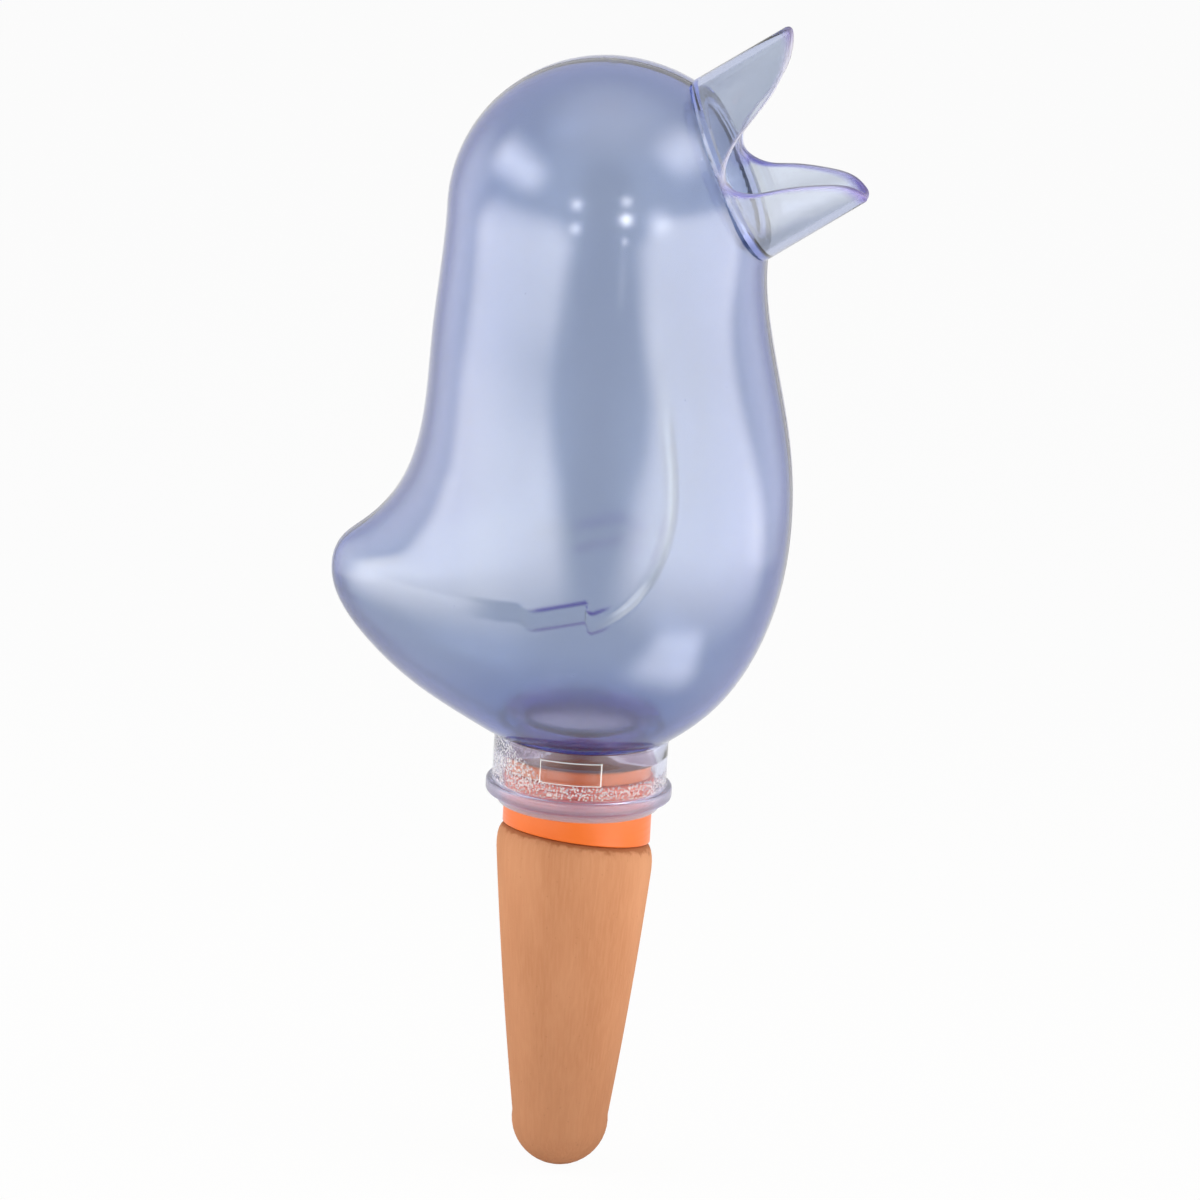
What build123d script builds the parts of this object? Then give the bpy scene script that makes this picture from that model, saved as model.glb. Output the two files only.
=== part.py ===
from build123d import *

import os
from math import cos, radians, sin, tan

# Bird-shaped watering bulb on a clay spike.
# Millimetres, +Z up, +X the way the bird looks, origin on the axis at the soil line.

# Clearances
joint_gap = 0.05
turn_gap = 0.1
slide_gap = 0.12
stop_gap = 0.3

# Neck collar, from its lower rim upward
neck_radius = 17.5
neck_wall = 2.3
neck_height = 10.0
neck_bore = neck_radius - neck_wall
rim_z = 6.0
rim_land = 0.9
lip_rise = 2.2
lip_height = 2.4
lip_overhang = 1.2
lip_low_z = rim_z + lip_rise
lip_top_z = lip_low_z + lip_height
base_z = lip_top_z + neck_height
ledge_width = 2.6
spigot_step = 1.7
spigot_height = 4.6
spigot_radius = neck_radius - spigot_step
edge_round = 0.4
pad_width = 12.3
pad_height = 4.6
pad_rise = 5.8
pad_depth = 0.25

# Bird body: the head is a dome, and everything below it follows three outlines
wall = 1.8
floor_thickness = 2.0
seam_lap = 1.4
head_x = -1.2
head_z = 127.8
head_radius = 31.0
brow_reach = 33.0
nape_reach = 31.5
throat_drop = 10.8
throat_inset = 0.2
breast_x = 39.5
breast_z = 66.0
tail_x = 52.2
tail_z = 50.5
belly_half_width = 36.0
belly_z = 64.0

# Pull of the section curves: a round flank, and a flank drawn out to the tail
round_pull = 0.5523
tail_pull = 0.42
tail_blunt = 0.30

# Wing, a low raised panel on each flank with stepped feather ends, fading upward
wing_relief = 1.1
wing_front_x = 18.2
wing_length = 40.2
wing_low_z = 52.0
wing_height = 44.0
wing_full_height = 20.0
wing_fade_z = wing_low_z + wing_full_height
wing_fade = 17.1
wing_sink = 0.6
fuller_flank = 0.2
feather_step = 2.3

# Beak spout, measured from the head's centre along and across an axis tilted up
beak_tilt = 35.0
beak_wall = 1.5
beak_below = 24.6
beak_above = 13.6
beak_root_half_width = 17.4
beak_tip_half_width = 5.4
beak_root_top = 28.9
beak_root_bottom = 23.0
beak_upper_reach = 52.3
beak_lower_reach = 47.6
mouth_corner = 27.4
sleeve_half_width = 14.6
sleeve_half_height = 15.8
sleeve_length = 3.6
root_plate = 1.3
beak_margin = 0.5

# Plug, which fits the neck's bore, and the seal in its groove
plug_clearance = 0.3
plug_radius = neck_bore - plug_clearance
plug_head_step = 0.7
plug_crown = 2.8
seal_groove_depth = 1.8
seal_groove_radius = plug_radius - seal_groove_depth
seal_height = 6.0
seal_rise = 1.4
seal_low_z = rim_z + seal_rise
seal_high_z = seal_low_z + seal_height
plug_top_z = seal_high_z + plug_crown
seal_ribs = 4
rib_height = 0.4
tang_radius = 10.4
tang_wall = 2.4
tang_length = 14.0
plug_bore = tang_radius - tang_wall

# Clay spike: its top is trimmed at a slant, and the plug's collar follows it
seat_slant = 7.5
seat_heading = 50.0
clay_overhang = 1.5
clay_top_radius = plug_radius + clay_overhang
clay_taper = 6.3
clay_length = 69.7
clay_swell = 0.4
clay_wall = 5.0
clay_shoulder = 3.0
bond_thickness = 0.6
bond_cover = 3.0

# Larger than the whole object, for cutting away a half-space
beyond = 400.0

os.makedirs("parts", exist_ok=True)


def spline_xz(points, first, last):
    """Smooth edge in the XZ plane through (x, z) points, with given end directions."""
    spots = [Vector(x, 0, z) for x, z in points]
    return Edge.make_spline(spots, tangents=[Vector(first[0], 0, first[1]), Vector(last[0], 0, last[1])])


def outline_back():
    """Nape, back, rump, tail tip and under-tail, from the head's equator to the neck."""
    nape_x = head_x - nape_reach
    points = [
        (nape_x, head_z),
        (nape_x - 1.6, head_z - 26.0),
        (nape_x - 2.6, tail_z + 33.0),
        (13.0 - tail_x, tail_z + 19.0),
        (6.0 - tail_x, tail_z + 10.2),
        (1.2 - tail_x, tail_z + 5.6),
        (-tail_x, tail_z),
        (8.4 - tail_x, tail_z - 14.2),
        (-neck_radius - 17.0, base_z + 8.4),
        (-neck_radius - 5.2, base_z + 2.2),
        (-neck_radius, base_z),
    ]
    return spline_xz(points, (0, -1), (1, -0.25))


def outline_front():
    """Throat, breast and belly, from the head's equator to the neck."""
    points = [
        (head_x + brow_reach, head_z),
        (head_x + brow_reach - throat_inset, head_z - throat_drop),
        (breast_x - 6.2, breast_z + 38.7),
        (breast_x - 0.9, breast_z + 14.3),
        (breast_x, breast_z),
        (breast_x - 4.2, breast_z - 23.3),
        (neck_radius + 7.5, base_z + 5.9),
        (neck_radius, base_z),
    ]
    return spline_xz(points, (0, -1), (-1, -0.7))


def outline_side():
    """Half-width of the body against height, as the front view shows it."""
    points = [
        (head_radius, head_z),
        (belly_half_width - 1.8, belly_z + 31.0),
        (belly_half_width, belly_z),
        (belly_half_width - 3.7, belly_z - 23.5),
        (neck_radius + 6.2, base_z + 5.9),
        (neck_radius, base_z),
    ]
    return spline_xz(points, (0, -1), (-1, -0.7))


def reach_at(edge, level, inset):
    """Where an outline, moved in by inset along its normal, crosses a level."""
    side = 1 if edge.position_at(0).X > 0 else -1
    low, high = 0.0, 1.0
    for _ in range(40):
        middle = (low + high) / 2
        along = edge.tangent_at(middle)
        outward = Vector(-along.Z, 0, along.X) * side
        spot = edge.position_at(middle) - outward * inset
        if spot.Z > level:
            low = middle
        else:
            high = middle
    return spot.X


def body_section(level, front, back, half_width, taper=0.0):
    """Closed level section: half an ellipse in front, drawn out to a tail behind."""
    middle = head_x * (level - base_z) / (head_z - base_z)
    reach = middle - back
    drawn_out = (reach - half_width) / (tail_x - belly_half_width)
    drawn_out = max(0.0, min(1.0, drawn_out)) + taper
    pull = round_pull + (tail_pull - round_pull) * drawn_out
    blunt = round_pull + (tail_blunt - round_pull) * drawn_out
    fore = []
    for step in range(-4, 5):
        turn = radians(22.5 * step)
        fore.append((middle + (front - middle) * cos(turn), half_width * sin(turn)))
    flank = []
    for step in range(5):
        t = step / 4
        start, leave, arrive = (1 - t) ** 3, 3 * (1 - t) ** 2 * t, 3 * (1 - t) * t**2
        x = start * middle + leave * (middle - pull * reach) + (arrive + t**3) * back
        y = (start + leave) * half_width + arrive * blunt * half_width
        flank.append((x, y))
    aft = flank + [(x, -y) for x, y in reversed(flank[:-1])]
    edges = []
    for points, sense in ((fore, 1), (aft, -1)):
        spots = [Vector(x, y, level) for x, y in points]
        ends = [Vector(sense, 0, 0), Vector(-sense, 0, 0)]
        edges.append(Edge.make_spline(spots, tangents=ends))
    return Wire(edges)


def body_loft(inset=0.0, floor_z=base_z, relief=0.0):
    """Solid inside the bird's skin moved in by inset, or with flanks raised by relief."""
    back, front, side = outline_back(), outline_front(), outline_side()
    drop = head_z - floor_z
    low_shares = (1.0, 0.972, 0.94, 0.9, 0.855, 0.805, 0.75, 0.695)
    high_shares = (0.64, 0.585, 0.52, 0.435, 0.335, 0.22, 0.11)
    sections = []
    for share in low_shares + high_shares:
        level = head_z - drop * share
        fade = 1.0 - max(0.0, level - wing_fade_z) / wing_fade
        sections.append(
            body_section(
                level,
                reach_at(front, level, inset),
                reach_at(back, level, inset),
                reach_at(side, level, inset) + relief * max(fade, -wing_sink),
                relief * fuller_flank,
            )
        )
    for degrees in (0, 18, 36, 52, 66, 78, 87):
        turn = radians(degrees)
        sections.append(
            body_section(
                head_z + (head_radius - inset) * sin(turn),
                head_x + (brow_reach - inset) * cos(turn),
                head_x - (nape_reach - inset) * cos(turn),
                (head_radius - inset - relief * wing_sink) * cos(turn),
            )
        )
    return Solid.make_loft(sections)


def wing_prism():
    """Wing outline seen from the side, carried right across the body."""
    top_z = wing_low_z + wing_height
    back_x = wing_front_x - wing_length
    edge_line = Spline(
        (wing_front_x - 1.4, top_z),
        (wing_front_x, wing_low_z + 28.0),
        (wing_front_x - 2.2, wing_low_z + 12.7),
        (wing_front_x - 8.0, wing_low_z + 3.7),
        (wing_front_x - 14.0, wing_low_z),
    )
    tip = edge_line @ 1
    feathers = Polyline(
        tip,
        (tip.X - 1.4, tip.Y + feather_step),
        (tip.X - 11.6, tip.Y - 0.4),
        (tip.X - 13.4, tip.Y - 0.4 + 0.6 * feather_step),
        (back_x, tip.Y),
        (back_x, top_z),
        edge_line @ 0,
    )
    flank = Plane.XZ * make_face(edge_line + feathers)
    return extrude(flank, amount=beyond / 4, both=True)


along_beak = Vector(cos(radians(beak_tilt)), 0, sin(radians(beak_tilt)))
across_beak = Vector(-along_beak.Z, 0, along_beak.X)
beak_middle = (beak_above - beak_below) / 2
head_centre = Vector(head_x, 0, head_z)
beak_side_plane = Plane(origin=head_centre, x_dir=along_beak, z_dir=(0, -1, 0))
root_upper = head_centre + along_beak * beak_root_top + across_beak * beak_above
root_lower = head_centre + along_beak * beak_root_bottom - across_beak * beak_below
root_up = (root_upper - root_lower).normalized()
root_out = Vector(root_up.Z, 0, -root_up.X)
root_plane = Plane(origin=(root_upper + root_lower) / 2, x_dir=(0, 1, 0), z_dir=root_out)


def root_oval(inset):
    """The sleeve's oval in the plane where the beak meets the head."""
    return root_plane * Ellipse(sleeve_half_width - inset, sleeve_half_height - inset)


def ahead_of_root(offset=0.0):
    """Everything in front of the beak's root plane, moved forward by offset."""
    return extrude(root_plane.offset(offset) * Rectangle(beyond, beyond), amount=beyond)


def bird_shell():
    """The whole hollow bird with its neck hole, beak hole and raised wings."""
    skin = body_loft()
    wings = body_loft(relief=wing_relief) & wing_prism()
    hollow = body_loft(inset=wall, floor_z=base_z + floor_thickness)
    neck_hole = Pos(0, 0, base_z) * Cylinder(spigot_radius + joint_gap, 4 * floor_thickness)
    beak_hole = extrude(root_oval(-joint_gap), amount=4 * sleeve_length, both=True)
    return (skin + wings) - hollow - neck_hole - beak_hole - ahead_of_root()


def slab(low_y, high_y):
    """Everything between two planes that stand across the bird."""
    return Pos(0, (low_y + high_y) / 2, 0) * Box(beyond, high_y - low_y, beyond)


def shell_halves():
    """Right and left mouldings; the left's inner tongue laps into a rebate in the right."""
    shell = bird_shell()
    floor_z = base_z + floor_thickness / 2
    rebate = body_loft(inset=wall / 2, floor_z=floor_z) & slab(-seam_lap, 0)
    core = body_loft(inset=wall / 2 + joint_gap, floor_z=floor_z + joint_gap)
    tongue = shell & core & slab(joint_gap - seam_lap, 0)
    right = (shell & slab(-beyond, 0)) - rebate
    left = (shell & slab(0, beyond)) + tongue
    return right, left


def beak_tube(inset):
    """Solid tube of the closed beak, flat-sided towards its tip, moved in by inset."""
    slope = (beak_tip_half_width - beak_root_half_width) / (beak_upper_reach - mouth_corner)
    half_height = (beak_above + beak_below) / 2 - inset
    rings = []
    for reach in (beak_root_bottom - 2 * sleeve_length, beak_upper_reach + root_plate):
        half_width = beak_root_half_width + slope * (reach - mouth_corner) - inset
        ring_plane = Plane(
            origin=head_centre + along_beak * reach + across_beak * beak_middle,
            x_dir=(0, 1, 0),
            z_dir=along_beak,
        )
        rings.append(ring_plane * Ellipse(half_width, half_height))
    return loft(rings, ruled=True)


def mouth_prism():
    """Gape between the mandibles: an open V with a rounded corner, seen from the side."""
    upper, lower, corner = beak_upper_reach, beak_lower_reach, mouth_corner
    ridge, keel = beak_above + beak_margin, -beak_below - beak_margin
    gape = Spline(
        (upper, ridge),
        (upper - 3.3, ridge - 5.1),
        (upper - 8.8, ridge - 9.4),
        (upper - 16.0, ridge - 12.2),
        (corner + 3.0, beak_middle + 4.5),
        (corner, beak_middle + 0.3),
        (corner + 2.6, beak_middle - 4.2),
        (lower - 13.4, keel + 13.2),
        (lower - 6.0, keel + 8.9),
        (lower - 1.5, keel + 4.7),
        (lower, keel),
    )
    front = Polyline(
        gape @ 1,
        (2 * upper, keel),
        (2 * upper, ridge),
        gape @ 0,
    )
    return extrude(beak_side_plane * make_face(gape + front), amount=beyond / 4, both=True)


def beak_spout():
    """Open beak with a plate at its root and a sleeve that plugs into the head."""
    sleeve_bore = extrude(root_oval(beak_wall), amount=2 * sleeve_length, both=True)
    walls = beak_tube(0) - beak_tube(beak_wall)
    plate = beak_tube(0) - ahead_of_root(root_plate) - sleeve_bore
    sleeve = extrude(root_oval(0), amount=-sleeve_length) - sleeve_bore
    return ((walls + plate) & ahead_of_root()) - mouth_prism() + sleeve


def turned(points):
    """Solid of revolution about Z from (radius, z) points."""
    return revolve(Plane.XZ * make_face(Polyline(*points, close=True)), Axis.Z)


def neck_collar():
    """Clear ring under the bird: spigot above, outward lip and stop ledge below."""
    ledge_z = plug_top_z + stop_gap
    ledge_bore = neck_bore - ledge_width
    lip_radius = neck_radius + lip_overhang
    pad_z = lip_top_z + pad_rise
    spigot_top = base_z + spigot_height
    ring = turned(
        [
            (ledge_bore, spigot_top),
            (spigot_radius, spigot_top),
            (spigot_radius, base_z),
            (neck_radius, base_z),
            (neck_radius, lip_top_z),
            (lip_radius, lip_top_z),
            (lip_radius, lip_low_z),
            (neck_bore + rim_land, rim_z),
            (neck_bore, rim_z),
            (neck_bore, ledge_z),
            (ledge_bore, ledge_z),
        ]
    )
    lip_edges = ring.edges().filter_by(GeomType.CIRCLE).filter_by(
        lambda edge: abs(edge.radius - lip_radius) < 0.01
    )
    ring = fillet(lip_edges, edge_round)
    block = Pos(0, -neck_radius, pad_z) * Box(pad_width, neck_radius, pad_height)
    sleeve = Pos(0, 0, pad_z) * (
        Cylinder(neck_radius + pad_depth, pad_height) - Cylinder(neck_radius, pad_height)
    )
    return ring + (block & sleeve)


def seal_ring():
    """Ribbed sealing sleeve that sits in the plug's groove."""
    inner = seal_groove_radius + turn_gap
    crest = neck_bore - slide_gap
    root = crest - rib_height
    low, high = seal_low_z + turn_gap, seal_high_z - turn_gap
    pitch = (high - low) / seal_ribs
    points = [(inner, high), (inner, low)]
    for rib in range(seal_ribs):
        foot = low + rib * pitch
        points += [(root, foot), (crest, foot + 0.3 * pitch), (crest, foot + 0.7 * pitch)]
    points.append((root, high))
    return turned(points)


def seat_cut(z_side):
    """Half-space above (1) or below (-1) the slanted seat between plug and clay."""
    slant = Rot(0, 0, seat_heading) * Rot(0, seat_slant, 0)
    return slant * Pos(0, 0, z_side * beyond / 2) * Box(beyond, beyond, beyond)


def plug():
    """Hollow stopper: seal groove above, slanted collar, tang down into the clay."""
    deep = plug_radius * tan(radians(seat_slant)) + clay_shoulder
    crown_radius = plug_radius - plug_head_step
    collar = turned(
        [
            (plug_bore, plug_top_z),
            (crown_radius - edge_round, plug_top_z),
            (crown_radius, plug_top_z - edge_round),
            (crown_radius, seal_high_z),
            (seal_groove_radius, seal_high_z),
            (seal_groove_radius, seal_low_z),
            (plug_radius, seal_low_z),
            (plug_radius, -deep),
            (plug_bore, -deep),
        ]
    )
    tang = turned(
        [
            (plug_bore, seal_low_z),
            (tang_radius, seal_low_z),
            (tang_radius, -tang_length),
            (plug_bore, -tang_length),
        ]
    )
    return (collar - seat_cut(-1)) + tang


def adhesive_ring():
    """Bond between the plug's tang and the clay's socket."""
    return turned(
        [
            (tang_radius, -bond_cover),
            (tang_radius + bond_thickness, -bond_cover),
            (tang_radius + bond_thickness, -tang_length),
            (tang_radius, -tang_length),
        ]
    )


def spike_profile(inset, top):
    """Half outline of the spike, moved in by inset: a taper that ends in a round tip."""
    slope = tan(radians(clay_taper))
    tip_radius = (clay_top_radius - clay_length * slope) * cos(radians(clay_taper))
    tip_radius /= 1 - sin(radians(clay_taper))
    tip_z = tip_radius - clay_length
    ball = tip_radius - inset
    taper = radians(clay_taper)
    tangent = (ball * cos(taper), tip_z + ball * sin(taper))
    shoulder = (clay_top_radius + top * slope - inset / cos(taper), top)
    belly = ((tangent[0] + shoulder[0]) / 2 + clay_swell, (tangent[1] + shoulder[1]) / 2)
    side = ThreePointArc(tangent, belly, shoulder)
    middle = Polyline(shoulder, (0, top), (0, tip_z - ball))
    halfway = radians(45) - taper / 2
    nose_point = (ball * sin(halfway), tip_z - ball * cos(halfway))
    nose = ThreePointArc((0, tip_z - ball), nose_point, tangent)
    return Plane.XZ * make_face(side + middle + nose)


def clay_cone():
    """Porous hollow spike with a socket for the tang and a slanted, rounded top."""
    slope_rise = clay_top_radius * tan(radians(seat_slant)) + clay_shoulder
    body = revolve(spike_profile(0, slope_rise), Axis.Z) - seat_cut(1)
    rim = body.edges().sort_by(Axis.Z)[-1]
    body = fillet(rim, clay_shoulder)
    hollow = revolve(spike_profile(clay_wall, -tang_length), Axis.Z)
    socket_depth = tang_length + slope_rise
    socket = Pos(0, 0, slope_rise - socket_depth / 2) * Cylinder(
        tang_radius + bond_thickness, socket_depth
    )
    return body - hollow - socket


right_half, left_half = shell_halves()
pieces = {
    "right_half_shell": right_half,
    "left_half_shell": left_half,
    "beak_spout": beak_spout(),
    "neck_collar": neck_collar(),
    "seal_ring": seal_ring(),
    "plug": plug(),
    "adhesive_ring": adhesive_ring(),
    "clay_cone": clay_cone(),
}
for name, piece in pieces.items():
    export_step(piece, f"parts/{name}.step")
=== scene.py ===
from math import cos, pi, radians, sin, tan

import bmesh
import bpy
import numpy as np
from mathutils import Matrix, Vector


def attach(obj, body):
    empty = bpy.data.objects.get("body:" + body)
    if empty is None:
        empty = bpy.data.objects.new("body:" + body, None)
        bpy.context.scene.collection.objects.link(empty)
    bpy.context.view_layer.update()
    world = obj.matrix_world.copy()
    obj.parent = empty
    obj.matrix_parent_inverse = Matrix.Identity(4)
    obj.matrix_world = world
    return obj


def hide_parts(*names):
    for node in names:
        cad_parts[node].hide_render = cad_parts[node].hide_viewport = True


# Bird-shaped watering bulb on a clay spike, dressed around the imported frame.
# Sizes are in millimetres and meshes in metres: +Z up, +X the way the bird looks.
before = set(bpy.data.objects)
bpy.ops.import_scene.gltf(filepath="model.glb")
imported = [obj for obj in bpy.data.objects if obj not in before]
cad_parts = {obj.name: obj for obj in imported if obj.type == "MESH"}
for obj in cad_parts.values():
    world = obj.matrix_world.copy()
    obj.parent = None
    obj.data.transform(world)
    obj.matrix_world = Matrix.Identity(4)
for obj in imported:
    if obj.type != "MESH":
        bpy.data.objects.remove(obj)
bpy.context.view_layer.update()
MM = 0.001

# Bird body
WALL = 1.8
FLOOR = 2.0
HEAD_X = -1.2
HEAD_Z = 127.8
HEAD_RADIUS = 31.0
BROW_REACH = 33.0
NAPE_REACH = 31.5
BASE_Z = 20.6
BREAST_X = 39.5
BREAST_Z = 66.0
TAIL_X = 52.2
TAIL_Z = 50.5
BELLY_HALF_WIDTH = 36.0
BELLY_Z = 64.0
ROUND_PULL = 0.5523
TAIL_PULL = 0.42
TAIL_BLUNT = 0.30
SEAM_GAP = 0.02
SEAM_GROOVE = 0.25
SEAM_LINE = 0.45

# Wing panel, raised over a soft bevel
WING_RELIEF = 1.1
WING_BEVEL = 4.4
FRONT_BEVEL = 3.3
WING_TOP_Z = 112.0
WING_FADE_Z = 80.0
WING_BACK_X = -24.0
WING_FADE_X = -11.0
WING_SOFT_X = 9.0
WING_CRISP_X = 4.0
WING_KNEE_Z = 66.0
# Painted shade lines along the feathers' crests and feet: their width, strength and ends
CREASE_WIDTH = 0.3
CREASE_FILL = 1.4
CREASE_BACK_X = -9.0
CREASE_BACK_FADE = 4.0
CREASE_FRONT_X = 8.5
CREASE_FRONT_FADE = 3.0

# Beak, measured from the head's centre along and across an axis tilted up
BEAK_TILT = 35.0
BEAK_WALL = 1.5
BEAK_BELOW = 24.6
BEAK_ABOVE = 13.6
ROOT_HALF_WIDTH = 17.4
TIP_HALF_WIDTH = 5.4
ROOT_TOP = 28.9
ROOT_BOTTOM = 23.0
UPPER_REACH = 52.3
LOWER_REACH = 47.6
MOUTH_CORNER = 27.4
SLEEVE_HALF_WIDTH = 14.6
SLEEVE_HALF_HEIGHT = 15.8
SLEEVE_LENGTH = 3.6
SLEEVE_MARK_DEPTH = 0.3
ROOT_PLATE = 1.3
BEAK_MARGIN = 0.5
CORNER_LAND = 1.3
TIP_ROUND = 1.5
TIP_TINT = 4.0
RIM_TINT = 2.2

# Neck collar
NECK_RADIUS = 17.5
NECK_BORE = 15.2
SPIGOT_RADIUS = 15.8
SPIGOT_HEIGHT = 4.6
LIP_RADIUS = 18.7
LIP_TOP_Z = 10.6
LIP_LOW_Z = 8.2
SKIRT_RADIUS = 17.1
SKIRT_Z = 7.6
RIM_Z = 6.0
RIM_RADIUS = 16.1
LEDGE_BORE = 12.6
LEDGE_Z = 16.5
PAD_WIDTH = 12.3
PAD_HEIGHT = 4.6
PAD_Z = 16.4
PAD_DEPTH = 0.25
PAD_EDGE = 0.2
LEDGE_FUNNEL = 7.0

# Plug, seal and bond
PLUG_RADIUS = 14.9
PLUG_TOP_Z = 16.2
PLUG_BORE = 8.0
CROWN_RADIUS = 14.2
GROOVE_RADIUS = 13.1
SEAL_LOW_Z = 7.4
SEAL_HIGH_Z = 13.4
SEAL_RIBS = 4
RIB_HEIGHT = 0.4
TANG_RADIUS = 10.4
TANG_LENGTH = 14.0
BOND_THICKNESS = 0.6
BOND_COVER = 3.0
TURN_GAP = 0.1
SLIDE_GAP = 0.12

# Clay spike
SEAT_SLANT = 7.5
SEAT_HEADING = 50.0
CLAY_TOP_RADIUS = 16.4
CLAY_TAPER = 6.3
CLAY_LENGTH = 69.7
CLAY_SWELL = 0.4
CLAY_WALL = 5.0
CLAY_SHOULDER = 7.0
SHOULDER_INSET = 3.0

# Clear plastic: light fades to the tint on its way through, more with density
TINT = (0.1, 0.25, 0.92)
SHELL_DENSITY = 400.0
BEAK_DENSITY = 90.0
COLLAR_DENSITY = 30.0
SHELL_IOR = 1.7
BEAK_IOR = 1.59
COLLAR_IOR = 1.47

# Looks of the half shells; colours are linear red, green and blue
SHELL_TINT = (0.94, 0.95, 0.715)
# Darker towards the bottom: painted shade on the low belly
LOW_SHADE_TINT = (0.447, 0.55, 0.583)
LOW_SHADE_TINT_Z = (19.0, 31.0)
# Painted shade at the feathers' crests and feet, then the seam's own dark line
CREST_SHADE_TINT = (0.12, 0.07, 0.42)
FOOT_SHADE_TINT = (0.52, 0.43, 0.52)
SEAM_TINT = (0.04, 0.035, 0.12)
SEAM_CLEAR = 0.25
SHELL_HAZE = (0.10, 0.15)
DUST_WHITE = (0.92, 0.94, 0.97)
DUST_HAZE = 0.5

# Looks of the beak
BEAK_TINTS = ((0.66, 0.70, 0.73), (0.72, 0.75, 0.77))
LOWER_RIM_TINT = (0.28, 0.26, 0.80)
UPPER_RIM_TINT = (0.86, 0.84, 0.97)
MOUTH_Z = (136.0, 140.0)
TIP_COLOUR = (0.22, 0.15, 0.55)
TIP_CLEAR = 0.5
# Paler sleeve inside the head: a painted highlight for the lamps' light off the root's flange
SLEEVE_HIGHLIGHT_TINT = (0.96, 0.97, 0.98)
BEAK_HAZE = (0.03, 0.06)
RIM_HAZE = 0.3
RIM_CLOUD = 0.6

# Looks of the collar, and the damp on it
COLLAR_TINT = (0.86, 0.85, 0.88)
# Painted shade: deeper colour on the spigot in the low belly and inside the funnel and bore
SPIGOT_SHADE_TINT = (0.80, 0.82, 0.92)
SPIGOT_SHADE_TINT_Z = (19.6, 21.0)
FUNNEL_SHADE_TINT = (0.40, 0.30, 0.40)
FUNNEL_RADII = (15.3, 15.7)
FUNNEL_LOW_Z = (LEDGE_Z - 0.3, LEDGE_Z + 0.1)
BORE_SHADE_TINT = (0.24, 0.14, 0.50)
BEAD_TINT = (0.80, 0.78, 0.94)
BEAD_TOP_Z = (LIP_TOP_Z - 0.2, LIP_TOP_Z + 0.2)
BEAD_HAZE = 0.7
BEAD_CLOUD = 0.3
# Painted shade: a dark line in the fold under the bead
FOLD_SHADE_TINT = (0.42, 0.36, 0.58)
FOLD_SHADE_Z = (SKIRT_Z + 0.1, LIP_LOW_Z + 0.2)
# Paler band at the lower rim: a painted highlight
RIM_HIGHLIGHT_Z = (RIM_Z + 0.3, RIM_Z + 0.6)
COLLAR_HAZE = 0.04
PAD_SIDE_Y = (-30.0, -15.7)
PAD_LINE = 0.12
PAD_LINE_WHITE = 0.85
LINE_SOFT = 0.1
DAMP_LOW_Z = LIP_TOP_Z + 0.3
DAMP_HIGH_Z = BASE_Z - 0.2
DAMP_SEAL_Z = SEAL_HIGH_Z + 0.3
WEDGE_X = (13.9, 14.3)
WEDGE_SLOPE = 1.36
FINE_DROPS = (0.55, 0.28)
LARGE_DROPS = (1.5, 0.31)
DROP_WHITE = 0.65
MIST = (0.03, 0.25)
MIST_RANGE = (0.35, 0.75)
# White of the frost and pad outline, and of the painted highlight on the lower rim
FROST_AND_HIGHLIGHT_WHITE = (0.92, 0.90, 0.95)
FROST_HAZE = 0.3
FROST_CLEAR = 0.2

# Looks of the seal, plug, bond and clay
SEAL_COLOURS = ((0.74, 0.05, 0.016), (0.85, 0.10, 0.034))
SEAL_ROUGHNESS = (0.45, 0.65)
PLUG_COLOURS = ((0.74, 0.125, 0.004), (0.80, 0.16, 0.010))
PLUG_ROUGHNESS = (0.28, 0.38)
BOND_COLOURS = ((0.13, 0.055, 0.022), (0.24, 0.11, 0.05))
BOND_ROUGHNESS = (0.35, 0.6)
CLAY_COLOURS = ((0.51, 0.222, 0.113), (0.58, 0.268, 0.145))
CLAY_ROUGHNESS = (0.82, 0.95)
CLAY_SPECULAR = 0.3
STROKE_COLOUR = (0.78, 0.46, 0.29)
STROKE_SHARE = 0.13
STROKE_RANGE = (0.3, 0.75)
PORE_COLOUR = (0.38, 0.16, 0.075)
PORE_SHARE = 0.25
# Dark band on the clay round the plug's foot: partly a smear of bond, partly painted shadow under
# the plug
SMEAR_AND_SHADOW_COLOUR = (0.30, 0.09, 0.03)
SMEAR_AND_SHADOW_SHARE = 0.7
SMEAR_AND_SHADOW_WIDTH = 0.5
SMEAR_AND_SHADOW_RAGGED = (-0.2, 0.25)
SMEAR_AND_SHADOW_Z = (-4.0, -3.0)

# Patterns: the usual range of a cloudy one, the solid core of a speck, and the stored shares
NOISE_RANGE = (0.3, 0.7)
SPECK_CORE = 0.6
MARKS = "marks"

# Camera, as the photograph was taken
CAMERA_AZIMUTH = 6.0
CAMERA_ELEVATION = 14.6
CAMERA_ROLL = 3.3
CAMERA_LENS = 400.0
SENSOR = 36.0
FRAME_WIDTH = 240.0
LOOK_AT = (2.13, 0.0, 48.15)

# Rows up the body, close together over the wing's foot; shares are of the body's height
LOW_ROWS = 26
LOW_ROW_POWER = 1.6
WING_ROWS = 44
WING_ROWS_START = 0.237
WING_ROWS_END = 0.40
HIGH_ROWS = 58
DOME_ROWS = 30

# Columns around the body, from the front seam at 0 to the back seam at 2
FRONT_COLUMNS = 34
WING_COLUMNS = 110
WING_COLUMNS_START = 0.62
WING_COLUMNS_END = 1.36
BACK_COLUMNS = 40
FRONT_SEAM_STEP = 0.007
BACK_SEAM_STEP = 0.008

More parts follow.
